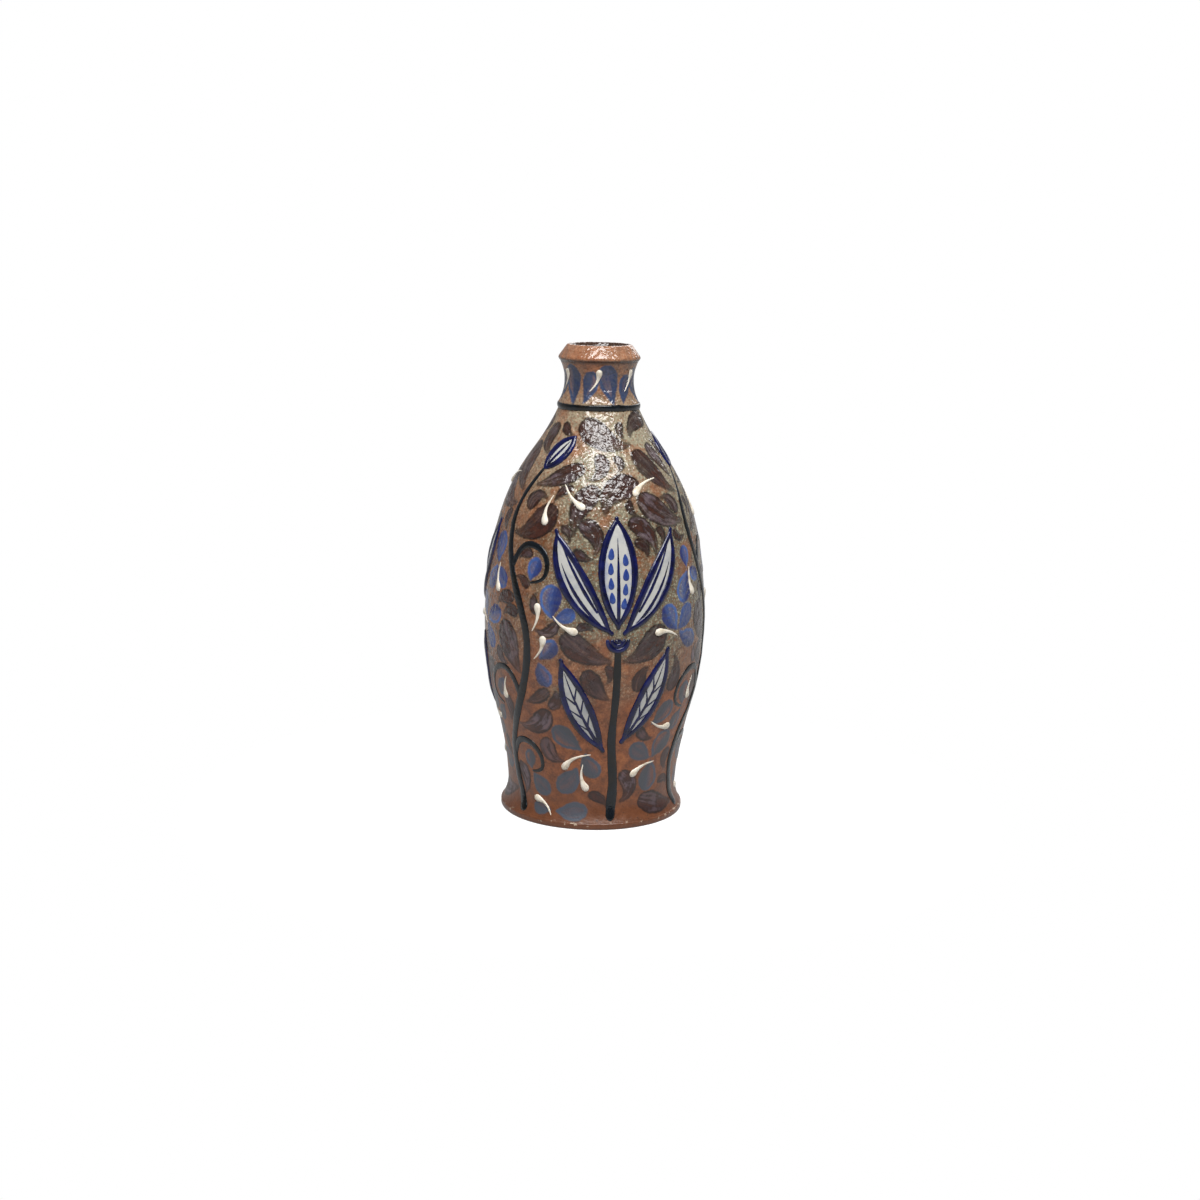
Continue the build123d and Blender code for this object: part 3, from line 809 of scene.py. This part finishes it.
for side, turn in sides.items():
    veins, dabs = [], []
    for edges, edge_turn in ((petals["middle"], turn), (bud, turn + vine_turn)):
        veins.append(vein(edges, edge_turn, midline, petal_midline, petal_midline_halves))
    for edges in (petals["right"], petals["left"]):
        for share, start, end in petal_lines:
            veins.append(vein(edges, turn, (share, share), (start, end), petal_line_halves))
    for edges in leaves.values():
        veins.append(vein(edges, turn, midline, leaf_midline, leaf_midline_halves))
        for start, share in itertools.product(leaf_ribs, rib_ends):
            start += far_side_start * (share > 0.5)
            veins.append(vein(edges, turn, (0.5, share), (start, start + rib_length), rib_halves))
    for start, share in itertools.product(dab_rows, dab_columns):
        start += far_side_start * (share > 0.5)
        dabs.append(vein(petals["middle"], turn, (share, share), (start, start + dab_length),
                         petal_dab_halves))
    trailed_piece(side + "_blue_veins", veins, vein_flatness, cobalt_slip)
    trailed_piece(side + "_petal_dabs", dabs, vein_flatness, cobalt_wash)

# Cream commas: thick white slip let fall from a nozzle, a round bead with a tail that thins and
# bends. The slip is dense and satin, and yellower where it is thin.
comma_head, comma_flatness = 1.4, 0.52
comma_bend, comma_sway = 0.5, 0.22
comma_taper = (1, 1, 0.52, 0.34, 0.24)
comma_tip, comma_step, comma_waver = 0.14, 0.35, 0.04
vine_commas = (
    (5.5 + 9.5j, -100, 8.0), (17.5 + 24j, -30, 9.0), (-14.5 + 38.5j, 95, 8.0), (-5.5 + 49j, 15, 7.0),
    (15.5 + 74j, 180, 8.0), (13.0 + 86j, -165, 8.5), (-8.5 + 90j, 30, 8.5), (10.5 + 117j, 25, 8.5))
blossom_commas = (
    (9.0 + 21j, -40, 8.5), (-9.0 + 16j, 35, 8.5), (16.0 + 77j, -80, 8.0), (-16.0 + 78j, 80, 8.0),
    (8.0 + 128j, -35, 8.5), (-12.5 + 123j, 60, 8.0))
neck_comma = (170.2j, 180, 7.0)
neck_comma_turns = range(0, 360, 60)
neck_comma_head = 1.1
cream_slip = slip_material("cream_slip", ("#cdbca0", "#efe6d6", "#efe6d6"), 0.3, 3.0, 0.1)


def comma_line(place, way, length, head, turn):
    """A comma whose bead lies at a place and whose tail points a way, in degrees from upright."""
    tip = comma_bend * length
    points = (-head * 1j, 0, complex(comma_sway * tip, length / 2), complex(tip, length))
    path = brush_path(points, comma_step) * np.exp(1j * math.radians(way)) + place
    halves = *(share * head for share in comma_taper), comma_tip
    return brush_line(path, turn, halves, waver=comma_waver)


comma_lines = []
for side, turn in sides.items():
    lines = [comma_line(*mark, comma_head, turn) for mark in blossom_commas]
    lines += [comma_line(*mark, comma_head, turn + vine_turn) for mark in vine_commas]
    trailed_piece(side + "_cream_commas", lines, comma_flatness, cream_slip,
                  side + "_commas")
    comma_lines += lines
neck_lines = [comma_line(*neck_comma, neck_comma_head, turn) for turn in neck_comma_turns]
trailed_piece("neck_cream_commas", neck_lines, comma_flatness, cream_slip, "neck_commas")

# Brushed washes: purple-brown leaf dabs and blue petals, thin colour in the glaze itself. They have
# no thickness to model, so each is a chain of discs whose depth is stored on the wall and the neck.
dab_steps = 20
dab_shape = ((0, 0.25, 0.6, 0.85, 1), (0.14, 0.42, 0.86, 1, 0.8))
dab_reach = 24.0
petal_zone, petal_lengths, petal_fatness = (6, 124), (10.0, 13.5), 0.34
petal_bend, petal_tone = (-35, 35), (0, 0.7)
petal_gap, petal_over_comma = 0.2, -1.2
root_on_line, root_on_petal, root_on_comma = 6, 5, 4
spray_sizes, spray_ways, spray_petals = (1.0, 0.78), range(0, 360, 30), 4
spray_heart = 1.2
tail_reach, tail_lean = 1.05, 75
neck_petals = ((-2.3 + 158.6j, 8, 17.0), (2.0 + 159.0j, -11, 14.5))
neck_petal_fatness, neck_petal_turn = 0.23, 30
neck_petal_stretch, neck_petal_lean = (0.85, 1.05), (-5, 5)
neck_petal_bend, neck_petal_tone = (-20, 20), (0.1, 0.6)
leaf_zone, leaf_fatness, leaf_tone = (5.5, 153), (0.2, 0.27), (0.1, 1.0)
leaf_gaps = (30, 90, 120, 145), (1.2, -0.9, -0.6, 0.5)
leaf_over_line, leaf_from_petal = -0.8, 0.1
vine_leaf_lengths, vine_leaf_foot = (22, 19, 16, 13.5), 2.6
vine_leaf_start, vine_leaf_step = 4, 5
vine_leaf_lean, vine_leaf_bend = (35, 85), (20, 120)
loose_leaf_lengths, loose_leaf_tries = (21, 18.5, 16, 14, 12, 10, 8.5), 3000
loose_leaf_way, loose_leaf_bend, loose_leaf_heights = (-80, 80), (50, 130), (7, 148)
hanging_share = 0.3
skin_reach, wash_margin = 1.5, 2.0
wash_draws = np.random.default_rng(21)


def dab(turn, start, way, length, fatness, bend):
    """A brush dab as discs on the clay (place and radius): thin where it lands, round where it lifts."""
    share = np.linspace(0, 1, dab_steps)
    half = length * fatness * np.interp(share, *dab_shape)
    heading = math.radians(way) + math.radians(bend) * (share - 0.5)
    step = length * (1 - fatness) / (dab_steps - 1)
    flow = np.interp(start.imag, outside_height, 1 / np.sqrt(1 + outside_slope ** 2))
    moves = np.concatenate(([0], np.cumsum(1j * np.exp(1j * heading[:-1]) * step)))
    return np.column_stack((on_clay(start + moves.real + 1j * flow * moves.imag, turn)[0], half))


def line_discs(lines):
    """Trailed lines as discs."""
    return np.concatenate([np.column_stack((place, half)) for place, normal, half in lines])


def room(discs, others, gap):
    """Whether the discs keep a gap from all the others."""
    middle = discs[len(discs) // 2]
    others = others[np.linalg.norm(others[:, :3] - middle[:3], axis=1) < dab_reach + others[:, 3]]
    if not len(others):
        return True
    apart = np.linalg.norm(discs[:, None, :3] - others[None, :, :3], axis=2)
    return (apart - discs[:, None, 3] - others[None, :, 3]).min() > gap


def free(discs, zone, *keep):
    """Whether a dab lies between two heights and keeps each gap from others, but for its root."""
    inside = discs[:, 2].min() > zone[0] and discs[:, 2].max() < zone[1]
    return inside and all(room(discs[root:], others, gap) for others, gap, root in keep)


taken_discs = [line_discs(drawn_lines)]
for turn in sides.values():
    for (first, second), edge_turn in white_fields(turn):
        place = on_clay((first + second) / 2, edge_turn)[0]
        taken_discs.append(np.column_stack((place, abs(first - second) / 2)))
taken = np.concatenate(taken_discs)
comma_discs = line_discs(comma_lines + neck_lines)

# Petals in sprays round the tips of the curls and the tails of the commas, and pairs on the neck
petal_dabs = []
petal_discs = np.zeros((0, 4))
spray_places = []
for turn in sides.values():
    spray_places += [(turn + vine_turn, points[-1]) for points in tendrils]
    for marks, mark_turn in ((vine_commas, turn + vine_turn), (blossom_commas, turn)):
        for place, way, length in marks:
            tail = tail_reach * length * np.exp(1j * math.radians(way + tail_lean))
            spray_places.append((mark_turn, place + tail))
for size in spray_sizes:
    for turn, heart in spray_places:
        first_way = wash_draws.uniform(0, 360)
        found = 0
        for way in spray_ways:
            length = size * wash_draws.uniform(*petal_lengths)
            start = heart + spray_heart * 1j * np.exp(1j * math.radians(first_way + way))
            bend = wash_draws.uniform(*petal_bend)
            tone = wash_draws.uniform(*petal_tone)
            new = dab(turn, start, first_way + way, length, petal_fatness, bend)
            keep = ((taken, petal_gap, root_on_line), (petal_discs, petal_gap, root_on_petal),
                    (comma_discs, petal_over_comma, root_on_comma))
            if found < spray_petals and free(new, petal_zone, *keep):
                petal_dabs.append((new, tone))
                petal_discs = np.concatenate((petal_discs, new))
                found += 1
for turn in neck_comma_turns:
    for start, way, length in neck_petals:
        length *= wash_draws.uniform(*neck_petal_stretch)
        way += wash_draws.uniform(*neck_petal_lean)
        bend = wash_draws.uniform(*neck_petal_bend)
        new = dab(turn + neck_petal_turn, start, way, length, neck_petal_fatness, bend)
        petal_dabs.append((new, wash_draws.uniform(*neck_petal_tone)))
        petal_discs = np.concatenate((petal_discs, new))

# Leaves that grow from the lines on both sides first, and then more in the room that is left
leaf_dabs = []
leaf_discs = np.zeros((0, 4))


def with_leaf(discs, turn, start, way, length, bend):
    """The leaves' discs so far, and those of a new leaf dab where it has room."""
    new = dab(turn, start, way, length, wash_draws.uniform(*leaf_fatness), bend)
    keep = ((discs, np.interp(start.imag, *leaf_gaps), 0), (taken, leaf_over_line, 0),
            (petal_discs, leaf_from_petal, 0))
    if not free(new, leaf_zone, *keep):
        return discs
    leaf_dabs.append((new, wash_draws.uniform(*leaf_tone)))
    return np.concatenate((discs, new))


for length in vine_leaf_lengths:
    for turn in sides.values():
        for points in (stem_points, vine_points, *tendrils):
            path_turn = turn if points is stem_points else turn + vine_turn
            path = brush_path(points, 1.0)
            for i in range(vine_leaf_start, len(path) - 2, vine_leaf_step):
                way = np.degrees(np.angle((path[i + 1] - path[i - 1]) / 1j))
                for hand_side in (1, -1):
                    beside = math.radians(way + 90 * hand_side)
                    start = path[i] + vine_leaf_foot * 1j * np.exp(1j * beside)
                    lean = wash_draws.uniform(*vine_leaf_lean) * hand_side
                    bend = -hand_side * wash_draws.uniform(*vine_leaf_bend)
                    leaf_discs = with_leaf(leaf_discs, path_turn, start, way + lean, length, bend)
for length in loose_leaf_lengths:
    for attempt in range(loose_leaf_tries):
        way = wash_draws.uniform(*loose_leaf_way) + 180 * (wash_draws.uniform() < hanging_share)
        bend = wash_draws.uniform(*loose_leaf_bend) * wash_draws.choice((-1, 1))
        turn = wash_draws.uniform(0, 360)
        start = 1j * wash_draws.uniform(*loose_leaf_heights)
        leaf_discs = with_leaf(leaf_discs, turn, start, way, length, bend)


def store_wash(piece, kind, dabs):
    """The depth inside the nearest dab, its tone and the way along it, stored on a piece's points."""
    mesh = piece.data
    points = np.zeros(3 * len(mesh.vertices), np.float32)
    mesh.vertices.foreach_get("co", points)
    points = points.reshape(-1, 3) / MM
    skin_radius = np.interp(points[:, 2], outside_height, outside_radius)
    outside = np.hypot(points[:, 0], points[:, 1]) > skin_radius - skin_reach
    values = np.zeros((len(points), len(wash_values)))
    for discs, tone in dabs:
        reach = np.ptp(discs[:, :3], axis=0).max() + discs[:, 3].max() + wash_margin
        near = np.where(outside & (np.linalg.norm(points - discs[:, :3].mean(0), axis=1) < reach))[0]
        depths = discs[None, :, 3] - np.linalg.norm(points[near, None, :] - discs[None, :, :3], axis=2)
        best = depths.argmax(1)
        out = discs[:, :3] * (1, 1, 0)
        sideways = np.cross(out, np.gradient(discs[:, :3], axis=0))
        sideways /= np.linalg.norm(sideways, axis=1)[:, None] * discs[:, 3:]
        across = ((points[near] - discs[best, :3]) * sideways[best]).sum(1)
        depth = depths.max(1) + edge_depth
        found = np.column_stack((depth, 0 * depth + tone, best / (dab_steps - 1), across))
        deeper = depth > values[near, 0]
        values[near[deeper]] = found[deeper]
    for name, value in zip(wash_values, values.T):
        store(mesh, f"{kind}_{name}", value)


for piece in (wall, neck):
    store_wash(piece, "leaf", leaf_dabs)
    store_wash(piece, "petal", petal_dabs)

# Studio: a white sweep, a softbox above and in front, fills before and behind, and pale surroundings
# that are dimmer on the camera's side, as in a room. The paper is white but for the soft shadow.
scene = bpy.context.scene
scene.view_settings.view_transform = "Standard"
floor_half = 6000.0
shadow_start, shadow_end = 0.045, 0.16
paper_grey = linear("#a6a6a6")
white = (1, 1, 1, 1)
paper_glow, paper_in_gloss = 0.82, 0.35
room_dim, room_bright = 0.07, 0.3
dim_way, bright_way = -0.6, 0.5
floor_corners = [(x * floor_half, y * floor_half, 0) for x, y in ((-1, -1), (1, -1), (1, 1), (-1, 1))]
floor = bpy.data.objects.new("floor", drawn(floor_corners, faces=[range(4)]))
scene.collection.objects.link(floor)
sweep = bpy.data.materials.new("white_paper_sweep")
sweep.use_nodes = True
tree = sweep.node_tree
tree.nodes.clear()
paper = add(tree, "ShaderNodeBsdfDiffuse", {"Color": paper_grey})
glow = add(tree, "ShaderNodeEmission", {"Color": white, "Strength": paper_glow})
bright_paper = add(tree, "ShaderNodeAddShader", (paper, glow))
ray = add(tree, "ShaderNodeLightPath")
in_gloss = add(tree, "ShaderNodeMath", (ray.outputs["Is Glossy Ray"], paper_in_gloss),
               operation="MULTIPLY")
seen = add(tree, "ShaderNodeMath", (ray.outputs["Is Camera Ray"], in_gloss), operation="MAXIMUM")
seen_too = add(tree, "ShaderNodeMath", (seen, ray.outputs["Is Transmission Ray"]), operation="MAXIMUM")
here = add(tree, "ShaderNodeTexCoord").outputs["Object"]
distance = add(tree, "ShaderNodeVectorMath", (here,), operation="LENGTH").outputs["Value"]
far_share = add(tree, "ShaderNodeMapRange",
                {"Value": distance, "From Min": shadow_start, "From Max": shadow_end})
far_paper = add(tree, "ShaderNodeEmission", {"Color": white, "Strength": 1.0})
shown_paper = add(tree, "ShaderNodeMixShader", (far_share, bright_paper, far_paper))
shown = add(tree, "ShaderNodeMixShader", (seen_too, paper, shown_paper))
add(tree, "ShaderNodeOutputMaterial", {"Surface": shown})
floor.data.materials.append(sweep)

world = bpy.data.worlds.new("white_room")
scene.world = world
world.use_nodes = True
tree = world.node_tree
tree.nodes.clear()
look = add(tree, "ShaderNodeSeparateXYZ", (add(tree, "ShaderNodeTexCoord").outputs["Generated"],))
room_light = add(tree, "ShaderNodeMapRange",
                 {"Value": look.outputs["Y"], "From Min": dim_way, "From Max": bright_way,
                  "To Min": room_dim, "To Max": room_bright})
ray = add(tree, "ShaderNodeLightPath")
strength = add(tree, "ShaderNodeMix",
               {"Factor": ray.outputs["Is Camera Ray"], "A": room_light, "B": 1.0}, data_type="FLOAT")
background = add(tree, "ShaderNodeBackground", {"Color": white, "Strength": strength})
add(tree, "ShaderNodeOutputWorld", {"Surface": background})


def softbox(name, place, aim, width, depth, power):
    """A soft lamp, wide and deep as given, that shines from a place to an aim."""
    lamp = bpy.data.lights.new(name, "AREA")
    lamp.shape = "RECTANGLE"
    lamp.size = width
    lamp.size_y = depth
    lamp.energy = power
    holder = bpy.data.objects.new(name, lamp)
    scene.collection.objects.link(holder)
    away = np.array(aim, float) - np.array(place, float)
    flat_distance = math.hypot(away[0], away[1])
    holder.location = place
    holder.rotation_euler = (math.atan2(flat_distance, -away[2]), 0, math.atan2(-away[0], away[1]))


softbox("overhead_softbox", (0.08, -0.62, 1.15), (0, 0, 0.12), 1.0, 0.45, 22.0)
softbox("front_fill", (-0.5, -1.6, 0.55), (0, 0, 0.09), 1.2, 1.2, 1.0)
softbox("back_fill", (0.3, 1.5, 1.0), (0, 0, 0.09), 1.2, 1.2, 13.0)

# Camera: worked out from the outline in the photograph, a little above the mouth and looking
# down, with the slight roll of a camera held by hand.
camera_place = (-0.849 * MM, -717.93 * MM, 228.39 * MM)
camera_pitch = math.radians(11.56)
camera_roll = math.radians(1.117)
camera_data = bpy.data.cameras.new("camera")
camera_data.lens = 56.8
camera_data.sensor_width = 36.0
camera_data.clip_start = 0.01
camera = bpy.data.objects.new("camera", camera_data)
camera.location = camera_place
camera.rotation_euler = (math.pi / 2 - camera_pitch, -camera_roll, 0)
scene.collection.objects.link(camera)
scene.camera = camera
